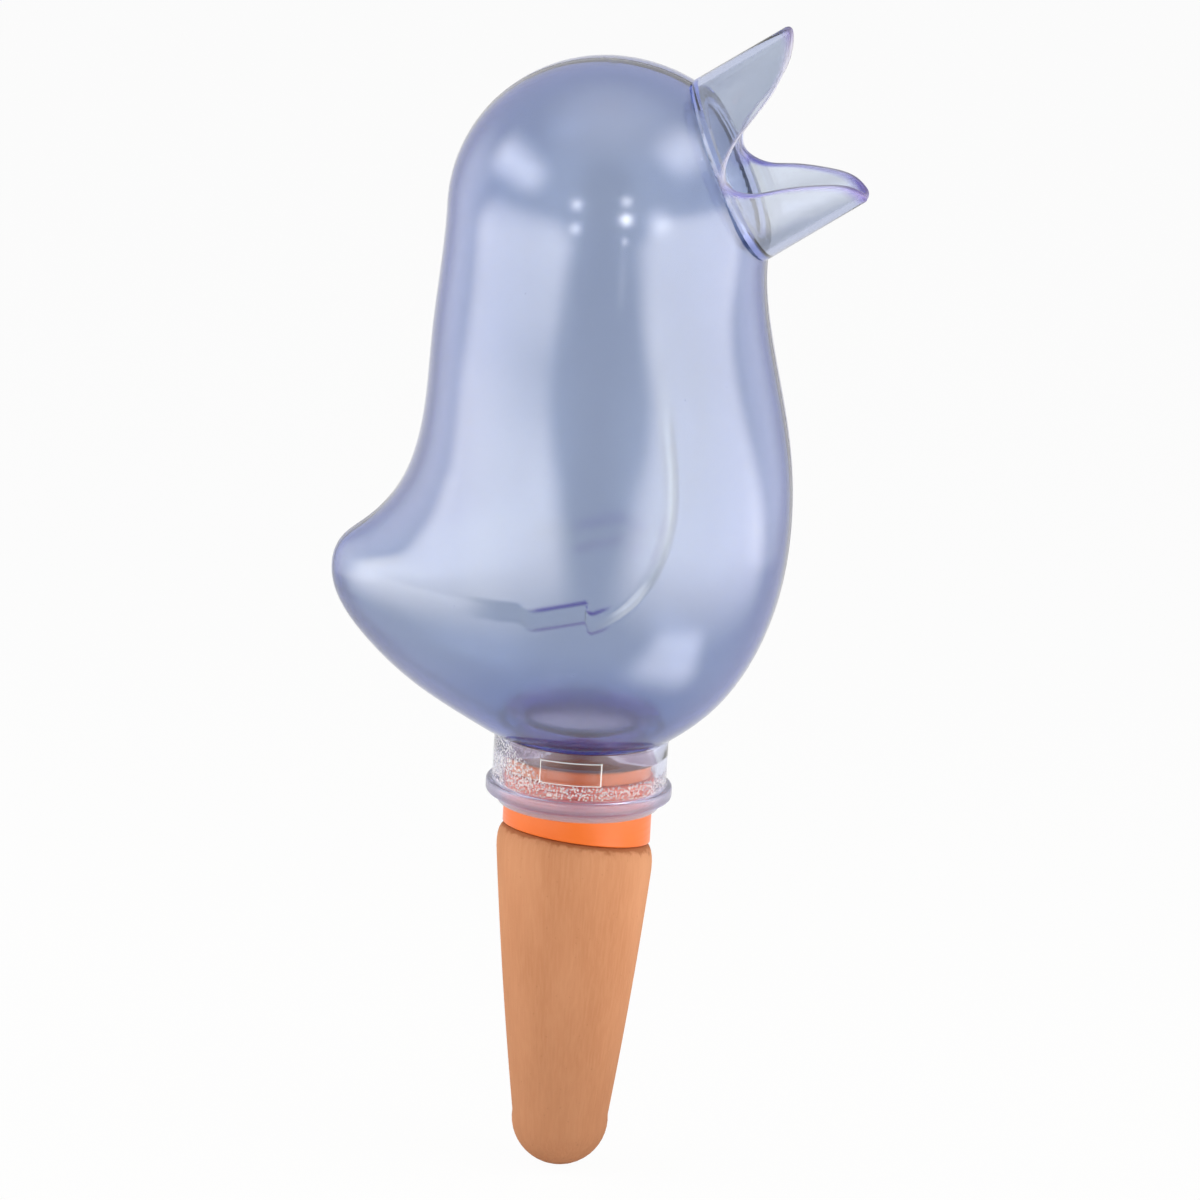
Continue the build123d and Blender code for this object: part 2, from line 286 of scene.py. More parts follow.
# Steps along and around the other pieces
LATHE_STEPS = 180
BOND_STEPS = 96
BEAK_STEPS = 220
BEAK_REACH_STEPS = 22
RIM_STEPS = 6
PAD_EDGE_STEPS = 7
STEPS_PER_RIB = 8
NOSE_STEPS = 14
SPIKE_STEPS = 60
HOLLOW_STEPS = 24
SHOULDER_STEPS = 9

# Mesh
JOINT_GAP = 0.05
RIM_ROUND = 0.6
POLE_RADIUS = 0.02
WELD = 0.002
CUT_TOLERANCE = 1e-8
TINY = 1e-9
SHARP_ANGLE = 40.0

# Stage: light for a level of 1, and the dimming that keeps a narrow beam as bright as a wide one
FLOOR_DROP = 0.3
FLOOR_WIDTH = 6000.0
FLOOR_WHITE = 0.96
FLOOR_GREY = (0.9, 0.9, 0.9)
FLOOR_ROUGHNESS = 0.9
AMBIENT = 0.05
LAMP_GAIN = 4.0
BEAM_GAIN = 12.0
SPOT_DISTANCE = 100.0
SPOT_BEAM = 16.0
GLOW_BEAM = 34.0
LAMP_WHITE = (1.0, 0.98, 0.91)
CARD_WHITE = (1.0, 0.95, 0.82)


def spline_through(points, first, last, per_span=300):
    """Smooth curve through a few points, with given end directions."""
    spots = np.array(points, float)
    chords = np.linalg.norm(np.diff(spots, axis=0), axis=1)
    count = len(spots)
    weights = np.eye(count)
    targets = np.zeros((count, 2))
    targets[0] = np.array(first) / np.linalg.norm(first)
    targets[-1] = np.array(last) / np.linalg.norm(last)
    for i in range(1, count - 1):
        before, after = chords[i - 1], chords[i]
        weights[i, i - 1:i + 2] = after, 2 * (before + after), before
        rise = after / before * (spots[i] - spots[i - 1])
        run = before / after * (spots[i + 1] - spots[i])
        targets[i] = 3 * (rise + run)
    slopes = np.linalg.solve(weights, targets)
    t = np.linspace(0, 1, per_span, endpoint=False)[:, None]
    pieces = []
    for i, chord in enumerate(chords):
        start, end = spots[i], spots[i + 1]
        leave, arrive = slopes[i] * chord, slopes[i + 1] * chord
        pieces.append(
            (2 * t**3 - 3 * t**2 + 1) * start
            + (t**3 - 2 * t**2 + t) * leave
            + (3 * t**2 - 2 * t**3) * end
            + (t**3 - t**2) * arrive
        )
    return np.vstack(pieces + [spots[-1:]])


def smooth_step(x):
    """0 below 0, 1 above 1, and a smooth rise between."""
    x = np.clip(x, 0.0, 1.0)
    return x * x * (3 - 2 * x)


def body_outlines():
    """Back, front and side outlines of the body as (x, z) points."""
    nape_x = HEAD_X - NAPE_REACH
    back = spline_through([
        (nape_x, HEAD_Z),
        (nape_x - 1.6, HEAD_Z - 26.0),
        (nape_x - 2.6, TAIL_Z + 33.0),
        (13.0 - TAIL_X, TAIL_Z + 19.0),
        (6.0 - TAIL_X, TAIL_Z + 10.2),
        (1.2 - TAIL_X, TAIL_Z + 5.6),
        (-TAIL_X, TAIL_Z),
        (8.4 - TAIL_X, TAIL_Z - 14.2),
        (-NECK_RADIUS - 17.0, BASE_Z + 8.4),
        (-NECK_RADIUS - 5.2, BASE_Z + 2.2),
        (-NECK_RADIUS, BASE_Z),
    ], first=(0, -1), last=(1, -0.25))
    front = spline_through([
        (HEAD_X + BROW_REACH, HEAD_Z),
        (HEAD_X + BROW_REACH - 0.2, HEAD_Z - 10.8),
        (BREAST_X - 6.2, BREAST_Z + 38.7),
        (BREAST_X - 0.9, BREAST_Z + 14.3),
        (BREAST_X, BREAST_Z),
        (BREAST_X - 4.2, BREAST_Z - 23.3),
        (NECK_RADIUS + 7.5, BASE_Z + 5.9),
        (NECK_RADIUS, BASE_Z),
    ], first=(0, -1), last=(-1, -0.7))
    side = spline_through([
        (HEAD_RADIUS, HEAD_Z),
        (BELLY_HALF_WIDTH - 1.8, BELLY_Z + 31.0),
        (BELLY_HALF_WIDTH, BELLY_Z),
        (BELLY_HALF_WIDTH - 3.7, BELLY_Z - 23.5),
        (NECK_RADIUS + 6.2, BASE_Z + 5.9),
        (NECK_RADIUS, BASE_Z),
    ], first=(0, -1), last=(-1, -0.7))
    return back, front, side


def reach_at(outline, levels, inset):
    """Where an outline, moved in by inset along its normal, crosses each level."""
    along = np.gradient(outline, axis=0)
    along /= np.linalg.norm(along, axis=1)[:, None]
    side = 1 if outline[0, 0] > 0 else -1
    outward = np.stack([-along[:, 1], along[:, 0]], axis=1) * side
    moved = outline - outward * inset
    return np.interp(levels, moved[::-1, 1], moved[::-1, 0])


def section_points(level, front, back, half_width, around):
    """Half of a level section, from the front seam at 0 to the back seam at 2."""
    middle = HEAD_X * min(1.0, (level - BASE_Z) / (HEAD_Z - BASE_Z))
    reach = middle - back
    drawn_out = np.clip((reach - half_width) / (TAIL_X - BELLY_HALF_WIDTH), 0, 1)
    pull = ROUND_PULL + (TAIL_PULL - ROUND_PULL) * drawn_out
    blunt = ROUND_PULL + (TAIL_BLUNT - ROUND_PULL) * drawn_out
    turn = np.clip(around, 0, 1) * pi / 2
    t = np.clip(around - 1, 0, 1)
    leave, arrive = 3 * (1 - t) ** 2 * t, 3 * (1 - t) * t**2
    aft_x = (1 - t) ** 3 * middle + leave * (middle - pull * reach) + (arrive + t**3) * back
    aft_y = ((1 - t) ** 3 + leave) * half_width + arrive * blunt * half_width
    x = np.where(around < 1, middle + (front - middle) * np.cos(turn), aft_x)
    y = np.where(around < 1, half_width * np.sin(turn), aft_y)
    return np.stack([x, y, np.full_like(x, level)], axis=1)


def body_surface(inset, floor_z, level_shares, dome_turns, around):
    """Grid of points on one half of the body's skin, moved in by inset."""
    back, front, side = body_outlines()
    levels = floor_z + (HEAD_Z - floor_z) * level_shares
    fronts, backs = reach_at(front, levels, inset), reach_at(back, levels, inset)
    widths = reach_at(side, levels, inset)
    rows = [section_points(*row, around) for row in zip(levels, fronts, backs, widths)]
    for turn in dome_turns:
        rows.append(section_points(
            HEAD_Z + (HEAD_RADIUS - inset) * sin(turn),
            HEAD_X + (BROW_REACH - inset) * cos(turn),
            HEAD_X - (NAPE_REACH - inset) * cos(turn),
            (HEAD_RADIUS - inset) * cos(turn),
            around,
        ))
    return np.array(rows)


def wing_outline():
    """Lower edge of the wing in (x, z): a long front curve and two stepped feathers."""
    front = spline_through([
        (15.2, 114.0),
        (16.6, 104.0),
        (18.2, 92.0),
        (19.8, 75.5),
        (18.2, 65.4),
        (12.4, 55.2),
        (4.4, 50.2),
    ], first=(0.1, -1), last=(-1, -0.35), per_span=12)
    middle_feather = [(3.7, 50.5), (3.2, 52.5), (-1.9, 51.2), (-7.6, 49.6)]
    rear_feather = [(-8.8, 50.0), (-9.8, 51.0), (-30.0, 49.6)]
    return np.vstack([front, middle_feather, rear_feather])


def distance_inside(points, outline):
    """Signed distance of (x, z) points from an outline, positive behind and above it."""
    start, end = outline[:-1], outline[1:]
    along = end - start
    offset = points[:, None, :] - start[None]
    share = np.clip((offset * along).sum(2) / (along * along).sum(1), 0, 1)
    far = np.linalg.norm(offset - share[..., None] * along, axis=2).min(axis=1)
    closed = np.vstack([outline, [(outline[-1, 0], outline[0, 1])]])
    inside = np.zeros(len(points), bool)
    for (x0, z0), (x1, z1) in zip(closed, np.roll(closed, -1, axis=0)):
        if z0 == z1:
            continue
        spans = (z0 > points[:, 1]) != (z1 > points[:, 1])
        inside ^= spans & (points[:, 0] < x0 + (points[:, 1] - z0) * (x1 - x0) / (z1 - z0))
    return np.where(inside, far, -far)


def rise_above(points, outline):
    """Height of (x, z) points above the feathers' lower edge."""
    below = outline[::-1][outline[::-1, 1] < WING_KNEE_Z]
    return points[:, 1] - np.interp(points[:, 0], below[:, 0], below[:, 1])


def raise_wing(grid):
    """Lifts the wing panel off a skin along its normal."""
    down = np.gradient(grid, axis=0)
    across = np.gradient(grid, axis=1)
    normal = np.cross(down, across)
    normal /= np.maximum(np.linalg.norm(normal, axis=2), TINY)[..., None]
    spots = grid.reshape(-1, 3)[:, [0, 2]]
    inside = distance_inside(spots, wing_outline()).reshape(grid.shape[:2])
    above = rise_above(spots, wing_outline()).reshape(grid.shape[:2])
    crisp = smooth_step((WING_SOFT_X - grid[..., 0]) / (WING_SOFT_X - WING_CRISP_X))
    feathers = np.clip(above / WING_BEVEL, 0, 1)
    lift = crisp * feathers + (1 - crisp) * smooth_step(inside / FRONT_BEVEL)
    lift *= smooth_step((WING_TOP_Z - grid[..., 2]) / (WING_TOP_Z - WING_FADE_Z))
    lift *= smooth_step((grid[..., 0] - WING_BACK_X) / (WING_FADE_X - WING_BACK_X))
    outward = np.where(normal[..., 1:2] > 0, normal, -normal)
    return grid + outward * (WING_RELIEF * lift)[..., None]


def vertex_spots(piece):
    """Places of a mesh's points, in millimetres."""
    flat = np.empty(len(piece.data.vertices) * 3)
    piece.data.vertices.foreach_get("co", flat)
    return flat.reshape(-1, 3) / MM


def store_marks(piece, *shares):
    """Keeps three shares a point on the mesh, as the red, green and blue of a colour."""
    colours = np.zeros((len(piece.data.vertices), 4))
    for channel, share in enumerate(shares):
        colours[:, channel] = share
    layer = piece.data.attributes.new(MARKS, "FLOAT_COLOR", "POINT")
    layer.data.foreach_set("color", colours.ravel())


def mark_shell(piece):
    """Marks the feathers' crests in red and feet in green, where painted shade lines go, and the
    seam in blue.
    """
    spots = vertex_spots(piece)
    above = rise_above(spots[:, [0, 2]], wing_outline())
    along = smooth_step((spots[:, 0] - CREASE_BACK_X) / CREASE_BACK_FADE)
    along *= smooth_step((CREASE_FRONT_X - spots[:, 0]) / CREASE_FRONT_FADE)
    along *= np.abs(spots[:, 1]) > BELLY_HALF_WIDTH / 2
    lines = []
    for edge in (WING_BEVEL, 0.0):
        line = along * np.exp(-(((above - edge) / CREASE_WIDTH) ** 2))
        lines.append(np.minimum(1, line * CREASE_FILL))
    store_marks(piece, *lines, np.abs(spots[:, 1]) < SEAM_LINE)


def quads(rows, columns, start=0, wrap=False):
    """Faces of a grid of points, row by row; wrap closes the columns into rings."""
    faces = []
    for row in range(rows - 1):
        for column in range(columns if wrap else columns - 1):
            after = (column + 1) % columns
            low, high = start + row * columns, start + (row + 1) * columns
            faces.append((low + column, low + after, high + after, high + column))
    return faces


def mesh_object(name, verts, faces):
    """Blender object from points in millimetres, with doubled points welded."""
    mesh = bpy.data.meshes.new(name)
    mesh.from_pydata((np.asarray(verts) * MM).tolist(), [], faces)
    work = bmesh.new()
    work.from_mesh(mesh)
    bmesh.ops.remove_doubles(work, verts=work.verts, dist=WELD * MM)
    bmesh.ops.recalc_face_normals(work, faces=work.faces)
    work.to_mesh(mesh)
    work.free()
    piece = bpy.data.objects.new(name, mesh)
    bpy.context.scene.collection.objects.link(piece)
    return piece


def smooth_shading(piece):
    """Smooth shading, with edges kept where faces meet at an angle."""
    piece.data.shade_smooth()
    piece.data.set_sharp_from_angle(angle=radians(SHARP_ANGLE))


def ring_object(name, rings):
    """Closed piece from a list of closed profile loops, one for each step around."""
    grid = np.array(rings)
    rows, columns = grid.shape[:2]
    looped = np.concatenate([grid, grid[:1]])
    piece = mesh_object(name, looped.reshape(-1, 3), quads(rows + 1, columns, wrap=True))
    smooth_shading(piece)
    return piece


def beak_axes():
    """Unit vectors along and across the beak, and the head's centre."""
    along = np.array([cos(radians(BEAK_TILT)), 0, sin(radians(BEAK_TILT))])
    across = np.array([-along[2], 0, along[0]])
    return along, across, np.array([HEAD_X, 0, HEAD_Z])


def root_frame():
    """Centre, up direction and outward direction of the plane where beak meets head."""
    along, across, centre = beak_axes()
    upper = centre + along * ROOT_TOP + across * BEAK_ABOVE
    lower = centre + along * ROOT_BOTTOM - across * BEAK_BELOW
    up = (upper - lower) / np.linalg.norm(upper - lower)
    return (upper + lower) / 2, up, np.array([up[2], 0, -up[0]])


def half_shell_grids():
    """Outer and inner skins of one half of the bird, both from the neck hole up."""
    shares = np.concatenate([
        WING_ROWS_START * np.linspace(0, 1, LOW_ROWS)[:-1] ** LOW_ROW_POWER,
        np.linspace(WING_ROWS_START, WING_ROWS_END, WING_ROWS)[:-1],
        np.linspace(WING_ROWS_END, 1, HIGH_ROWS),
    ])
    dome = radians(90) * np.linspace(0, 1, DOME_ROWS)[1:]
    around = np.concatenate([
        [0.0, FRONT_SEAM_STEP],
        np.linspace(2 * FRONT_SEAM_STEP, WING_COLUMNS_START, FRONT_COLUMNS)[:-1],
        np.linspace(WING_COLUMNS_START, WING_COLUMNS_END, WING_COLUMNS)[:-1],
        np.linspace(WING_COLUMNS_END, 2 - 2 * BACK_SEAM_STEP, BACK_COLUMNS),
        [2 - BACK_SEAM_STEP, 2.0],
    ])
    outer = raise_wing(body_surface(0.0, BASE_Z, shares, dome, around))
    inner = raise_wing(body_surface(WALL, BASE_Z + FLOOR, shares, dome, around))
    for edge in (0, -1):
        inward = inner[:, edge] - outer[:, edge]
        outer[:, edge] += inward * SEAM_GROOVE / np.linalg.norm(inward, axis=1)[:, None]
    grids = []
    for grid in (outer, inner):
        turn = np.arctan2(grid[0, :, 1], grid[0, :, 0])
        hole = SPIGOT_RADIUS + JOINT_GAP
        rim = np.stack([hole * np.cos(turn), hole * np.sin(turn), grid[0, :, 2]], axis=1)
        grids.append(np.concatenate([rim[None], grid]))
    return grids


def half_shell(name, side):
    """One half of the hollow bird, cut flat where the beak is joined on."""
    outer, inner = half_shell_grids()
    rows, columns = outer.shape[:2]
    verts = np.vstack([outer.reshape(-1, 3), inner.reshape(-1, 3)])
    verts[:, 1] = side * (np.maximum(verts[:, 1], 0) + SEAM_GAP)
    offset = rows * columns
    faces = quads(rows, columns) + quads(rows, columns, offset)
    for row in range(rows - 1):
        for edge in (0, columns - 1):
            a, b = row * columns + edge, (row + 1) * columns + edge
            faces.append((a, b, offset + b, offset + a))
    for column in range(columns - 1):
        faces.append((column, column + 1, offset + column + 1, offset + column))
    piece = mesh_object(name, verts, faces)
    work = bmesh.new()
    work.from_mesh(piece.data)
    centre, _, outward = root_frame()
    cut = bmesh.ops.bisect_plane(
        work,
        geom=work.verts[:] + work.edges[:] + work.faces[:],
        dist=CUT_TOLERANCE,
        plane_co=Vector(centre * MM),
        plane_no=Vector(outward),
        clear_outer=True,
    )
    rim = [item for item in cut["geom_cut"] if isinstance(item, bmesh.types.BMEdge)]
    bmesh.ops.edgeloop_fill(work, edges=rim)
    bmesh.ops.recalc_face_normals(work, faces=work.faces)
    work.to_mesh(piece.data)
    work.free()
    smooth_shading(piece)
    mark_shell(piece)
    return piece


def mouth_reach(height):
    """How far the beak's wall runs forward at a height, before the gape cuts it off."""
    upper, lower, corner = UPPER_REACH, LOWER_REACH, MOUTH_CORNER
    ridge, keel = BEAK_ABOVE + BEAK_MARGIN, -BEAK_BELOW - BEAK_MARGIN
    middle = (BEAK_ABOVE - BEAK_BELOW) / 2
    gape = spline_through([
        (upper, ridge),
        (upper - 3.3, ridge - 5.1),
        (upper - 8.8, ridge - 9.4),
        (upper - 16.0, ridge - 12.2),
        (corner + 3.0, middle + 4.5),
        (corner, middle + 0.3),
        (corner + 2.6, middle - 4.2),
        (lower - 13.4, keel + 13.2),
        (lower - 6.0, keel + 8.9),
        (lower - 1.5, keel + 4.7),
        (lower, keel),
    ], first=(-0.5, -1), last=(0.3, -1))
    return np.interp(height, gape[::-1, 1], gape[::-1, 0])


def beak_ends(height):
    """Where the beak's wall starts at its root and ends at its rim, at heights across it."""
    share = (height + BEAK_BELOW) / (BEAK_ABOVE + BEAK_BELOW)
    root = ROOT_BOTTOM + (ROOT_TOP - ROOT_BOTTOM) * share
    depth = np.minimum(BEAK_ABOVE - height, height + BEAK_BELOW)
    short = 1 - np.clip(depth / TIP_ROUND, 0, 1)
    nip = TIP_ROUND * (1 - np.sqrt(1 - short**2))
    return root, np.maximum(mouth_reach(height) - nip, root + CORNER_LAND)


def beak_profile(turn):
    """Closed loop through the beak's wall, root plate and sleeve at one turn around."""
    along, across, centre = beak_axes()
    root_centre, root_up, root_out = root_frame()
    side = np.array([0.0, 1.0, 0.0])
    middle = (BEAK_ABOVE - BEAK_BELOW) / 2
    half_height = (BEAK_ABOVE + BEAK_BELOW) / 2
    slope = (TIP_HALF_WIDTH - ROOT_HALF_WIDTH) / (UPPER_REACH - MOUTH_CORNER)

    def wall_point(reach, inset):
        height = middle + (half_height - inset) * sin(turn)
        width = ROOT_HALF_WIDTH + slope * (reach - MOUTH_CORNER) - inset
        return centre + along * reach + across * height + side * width * cos(turn)

    def oval_point(inset, depth):
        across_oval = side * (SLEEVE_HALF_WIDTH - inset) * cos(turn)
        up_oval = root_up * (SLEEVE_HALF_HEIGHT - inset) * sin(turn)
        return root_centre + across_oval + up_oval + root_out * depth

    root, mouth = beak_ends(middle + half_height * sin(turn))
    inner_root, inner_mouth = beak_ends(middle + (half_height - BEAK_WALL) * sin(turn))
    mouth, inner_mouth = mouth - RIM_ROUND, inner_mouth - RIM_ROUND
    plate = min(inner_root + ROOT_PLATE, inner_mouth)
    steps = np.linspace(0, 1, BEAK_REACH_STEPS)
    loop = [wall_point(root + (mouth - root) * t, 0) for t in steps]
    edge, inner_edge = wall_point(mouth, 0), wall_point(inner_mouth, BEAK_WALL)
    outward = wall_point(mouth + 1, 0) - edge
    for step in range(1, RIM_STEPS):
        bend = pi * step / RIM_STEPS
        swing = (edge + inner_edge) / 2 + (edge - inner_edge) / 2 * cos(bend)
        loop.append(swing + outward * RIM_ROUND * sin(bend))
    loop += [wall_point(inner_mouth + (plate - inner_mouth) * t, BEAK_WALL) for t in steps]
    loop += [oval_point(BEAK_WALL, plate - inner_root), oval_point(BEAK_WALL, -SLEEVE_LENGTH)]
    loop += [oval_point(0, -SLEEVE_LENGTH), oval_point(0, 0)]
    return loop


def beak_spout():
    """Open beak with its root plate and sleeve; rim, tips and sleeve are marked for colour."""
    turns = [2 * pi * step / BEAK_STEPS for step in range(BEAK_STEPS)]
    piece = ring_object("beak", [beak_profile(turn) for turn in turns])
    along, across, centre = beak_axes()
    root_centre, _, root_out = root_frame()
    spots = vertex_spots(piece)
    reach, height = (spots - centre) @ along, (spots - centre) @ across
    _, mouth = beak_ends(height)
    rim = smooth_step((reach - mouth + RIM_TINT) / (RIM_TINT - RIM_ROUND))
    tip = np.maximum(
        smooth_step((reach - UPPER_REACH + TIP_TINT) / TIP_TINT) * (height > 0),
        smooth_step((reach - LOWER_REACH + TIP_TINT) / TIP_TINT) * (height < 0),
    )
    sleeve = (spots - root_centre) @ root_out < -SLEEVE_MARK_DEPTH
    store_marks(piece, rim, tip, sleeve)
    return piece


def rounded_loop(corners, arc_steps=5):
    """Closed (radius, z) outline with its corners rounded: corners are (r, z, round)."""
    spots = np.array([corner[:2] for corner in corners], float)
    loop = []
    for i, (_, _, radius) in enumerate(corners):
        here = spots[i]
        if radius == 0:
            loop.append(here)
            continue
        to_last, to_next = spots[i - 1] - here, spots[(i + 1) % len(spots)] - here
        start = here + to_last / np.linalg.norm(to_last) * radius
        end = here + to_next / np.linalg.norm(to_next) * radius
        for t in np.linspace(0, 1, arc_steps):
            loop.append((1 - t) ** 2 * start + 2 * t * (1 - t) * here + t**2 * end)
    return np.array(loop)


def lathe(name, profile_at, steps=LATHE_STEPS, extra_turns=()):
    """Piece turned about Z; profile_at(angle) gives its (radius, z) loop."""
    even_turns = [2 * pi * step / steps for step in range(steps)]
    rings = []
    for turn in sorted(even_turns + list(extra_turns)):
        loop = profile_at(turn)
        radius, height = loop[:, 0], loop[:, 1]
        rings.append(np.stack([radius * cos(turn), radius * sin(turn), height], axis=1))
    return ring_object(name, rings)


def neck_collar():
    """Clear collar with a bare raised pad, a beaded lip, a steep funnel as its stop and a spigot."""
    top = BASE_Z + SPIGOT_HEIGHT
    pad_low, pad_high = PAD_Z - PAD_HEIGHT / 2, PAD_Z + PAD_HEIGHT / 2
    pad_turn = np.arcsin(PAD_WIDTH / 2 / NECK_RADIUS)
    front = 1.5 * pi

    def profile(turn):
        inside = (pad_turn - abs(turn - front)) * NECK_RADIUS / PAD_EDGE
        rise = PAD_DEPTH * float(smooth_step(inside + 0.5))
        return rounded_loop([
            (LEDGE_BORE, top, 0.3),
            (SPIGOT_RADIUS, top, 0.4),
            (SPIGOT_RADIUS, BASE_Z, 0.1),
            (NECK_RADIUS, BASE_Z, 0.2),
            (NECK_RADIUS, pad_high + PAD_EDGE, 0),
            (NECK_RADIUS + rise, pad_high, 0),
            (NECK_RADIUS + rise, pad_low, 0),
            (NECK_RADIUS, pad_low - PAD_EDGE, 0),
            (NECK_RADIUS, LIP_TOP_Z, 0.5),
            (LIP_RADIUS, LIP_TOP_Z, 0.55),
            (LIP_RADIUS, LIP_LOW_Z, 0.55),
            (SKIRT_RADIUS, SKIRT_Z, 0.2),
            (RIM_RADIUS, RIM_Z, 0.3),
            (NECK_BORE, RIM_Z, 0.2),
            (NECK_BORE, LEDGE_Z, 0.3),
            (LEDGE_BORE, LEDGE_Z + LEDGE_FUNNEL, 0.6),
        ])

    steps = np.linspace(-1, 1, PAD_EDGE_STEPS) * PAD_EDGE / NECK_RADIUS
    edges = [front + side * pad_turn + step for side in (-1, 1) for step in steps]
    return lathe("collar", profile, extra_turns=edges)


def seal_ring():
    """Sealing sleeve with round ribs."""
    inner = GROOVE_RADIUS + TURN_GAP
    crest = NECK_BORE - SLIDE_GAP
    low, high = SEAL_LOW_Z + TURN_GAP, SEAL_HIGH_Z - TURN_GAP
    heights = np.linspace(low, high, STEPS_PER_RIB * SEAL_RIBS + 1)
    waves = np.abs(np.sin((heights - low) / (high - low) * SEAL_RIBS * pi))
    radii = crest - RIB_HEIGHT * (1 - np.sqrt(waves))
    outside = np.stack([radii, heights], axis=1)
    loop = np.vstack([[(inner, high), (inner, low)], outside])
    return lathe("seal", lambda turn: loop)


def seat_height(radius, turn):
    """Height of the slanted seat between plug and clay."""
    return -radius * tan(radians(SEAT_SLANT)) * cos(turn - radians(SEAT_HEADING))


def plug_profile(turn):
    """Plug at one turn: crown, seal groove, collar down to the slanted seat, tang."""
    return rounded_loop([
        (PLUG_BORE, PLUG_TOP_Z, 0.5),
        (CROWN_RADIUS, PLUG_TOP_Z, 0.7),
        (CROWN_RADIUS, SEAL_HIGH_Z, 0.2),
        (GROOVE_RADIUS, SEAL_HIGH_Z, 0.2),
        (GROOVE_RADIUS, SEAL_LOW_Z, 0.2),
        (PLUG_RADIUS, SEAL_LOW_Z, 0.4),
        (PLUG_RADIUS, seat_height(PLUG_RADIUS, turn), 0.35),
        (TANG_RADIUS, seat_height(TANG_RADIUS, turn), 0.1),
        (TANG_RADIUS, -TANG_LENGTH, 0.4),
        (PLUG_BORE, -TANG_LENGTH, 0.4),
    ])


def adhesive_ring():
    """Bond between tang and clay."""
    outer = TANG_RADIUS + BOND_THICKNESS
    loop = rounded_loop([
        (TANG_RADIUS, -BOND_COVER, 0.1),
        (outer, -BOND_COVER, 0.1),
        (outer, -TANG_LENGTH, 0.1),
        (TANG_RADIUS, -TANG_LENGTH, 0.1),
    ])
    return lathe("bond", lambda turn: loop, steps=BOND_STEPS)


def spike_side(inset, top, steps):
    """Spike's side from its tip up to a height, moved in by inset, as (radius, z)."""
    taper = radians(CLAY_TAPER)
    tip_radius = (CLAY_TOP_RADIUS - CLAY_LENGTH * tan(taper)) * cos(taper) / (1 - sin(taper))
    ball = tip_radius - inset
    ball_z = tip_radius - CLAY_LENGTH
    nose_turns = np.linspace(-pi / 2, taper, NOSE_STEPS)
    nose = np.stack([ball * np.cos(nose_turns), ball_z + ball * np.sin(nose_turns)], axis=1)
    nose[0, 0] = POLE_RADIUS
    start = nose[-1]
    heights = np.linspace(start[1], top, steps)[1:]
    share = (heights - start[1]) / -start[1]
    swell = CLAY_SWELL * 4 * np.clip(share * (1 - share), 0, 1)
    radii = start[0] + (heights - start[1]) * tan(taper) + swell
    return np.vstack([nose, np.stack([radii, heights], axis=1)])


def clay_profile(turn):
    """Spike at one turn: outer side, rounded slanted top, socket and inner hollow."""
    top = seat_height(CLAY_TOP_RADIUS, turn)
    side = spike_side(0, top - CLAY_SHOULDER, SPIKE_STEPS)
    shoulder = side[-1]
    corner = np.array([shoulder[0] + CLAY_SHOULDER * tan(radians(CLAY_TAPER)), top])
    landing_radius = corner[0] - SHOULDER_INSET
    landing = np.array([landing_radius, seat_height(landing_radius, turn)])
    t = np.linspace(0, 1, SHOULDER_STEPS)[1:, None]
    rounding = (1 - t) ** 2 * shoulder + 2 * t * (1 - t) * corner + t**2 * landing
    socket = TANG_RADIUS + BOND_THICKNESS
    hollow = spike_side(CLAY_WALL, -TANG_LENGTH, HOLLOW_STEPS)[::-1]
    inside = [(socket, seat_height(socket, turn)), (socket, -TANG_LENGTH)]
    return np.vstack([side, rounding, inside, hollow])


def dress(piece, body, slot, material, *nodes):
    """Puts a finished piece on its body in place of CAD nodes, with its material."""
    piece.data.materials.clear()
    piece.data.materials.append(material)
    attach(piece, body)
    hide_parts(*nodes)


def new_material(name):
    """New material, with its node tree and its main shader."""
    material = bpy.data.materials.new(name)
    material.use_nodes = True
    tree = material.node_tree
    return material, tree, tree.nodes["Principled BSDF"]


def set_inputs(node, **values):
    """Sets a node's sockets; underscores in a name stand for spaces."""
    for name, value in values.items():
        node.inputs[name.replace("_", " ")].default_value = value


def calculate(tree, operation, first, second):
    """One sum on two values, either of which may be a plain number."""
    node = tree.nodes.new("ShaderNodeMath")
    node.operation = operation
    for socket, value in zip(node.inputs, (first, second)):
        if isinstance(value, (int, float)):
            socket.default_value = value
        else:
            tree.links.new(value, socket)
    return node.outputs[0]


def times(tree, first, second):
    """Product of two shares."""
    return calculate(tree, "MULTIPLY", first, second)


def larger(tree, first, second):
    """The larger of two shares."""
    return calculate(tree, "MAXIMUM", first, second)


def rest_of(tree, share):
    """What a share leaves of 1."""
    return calculate(tree, "SUBTRACT", 1.0, share)


def remap(tree, value, low, high, to_low=0.0, to_high=1.0):
    """Value carried smoothly from one range to another."""
    ramp = tree.nodes.new("ShaderNodeMapRange")
    ramp.interpolation_type = "SMOOTHSTEP"
    set_inputs(ramp, From_Min=low, From_Max=high, To_Min=to_low, To_Max=to_high)
    tree.links.new(value, ramp.inputs["Value"])
    return ramp.outputs["Result"]


def vary(tree, pattern, low, high):
    """Usual range of a cloudy pattern, carried from one value to another."""
    return remap(tree, pattern, *NOISE_RANGE, low, high)


def place_on(tree):
    """Places on the piece, in metres from the frame's origin."""
    return tree.nodes.new("ShaderNodeTexCoord").outputs["Object"]


def axis_of(tree, axis):
    """One coordinate of the place on the piece."""
    split = tree.nodes.new("ShaderNodeSeparateXYZ")
    tree.links.new(place_on(tree), split.inputs[0])
    return split.outputs[axis]


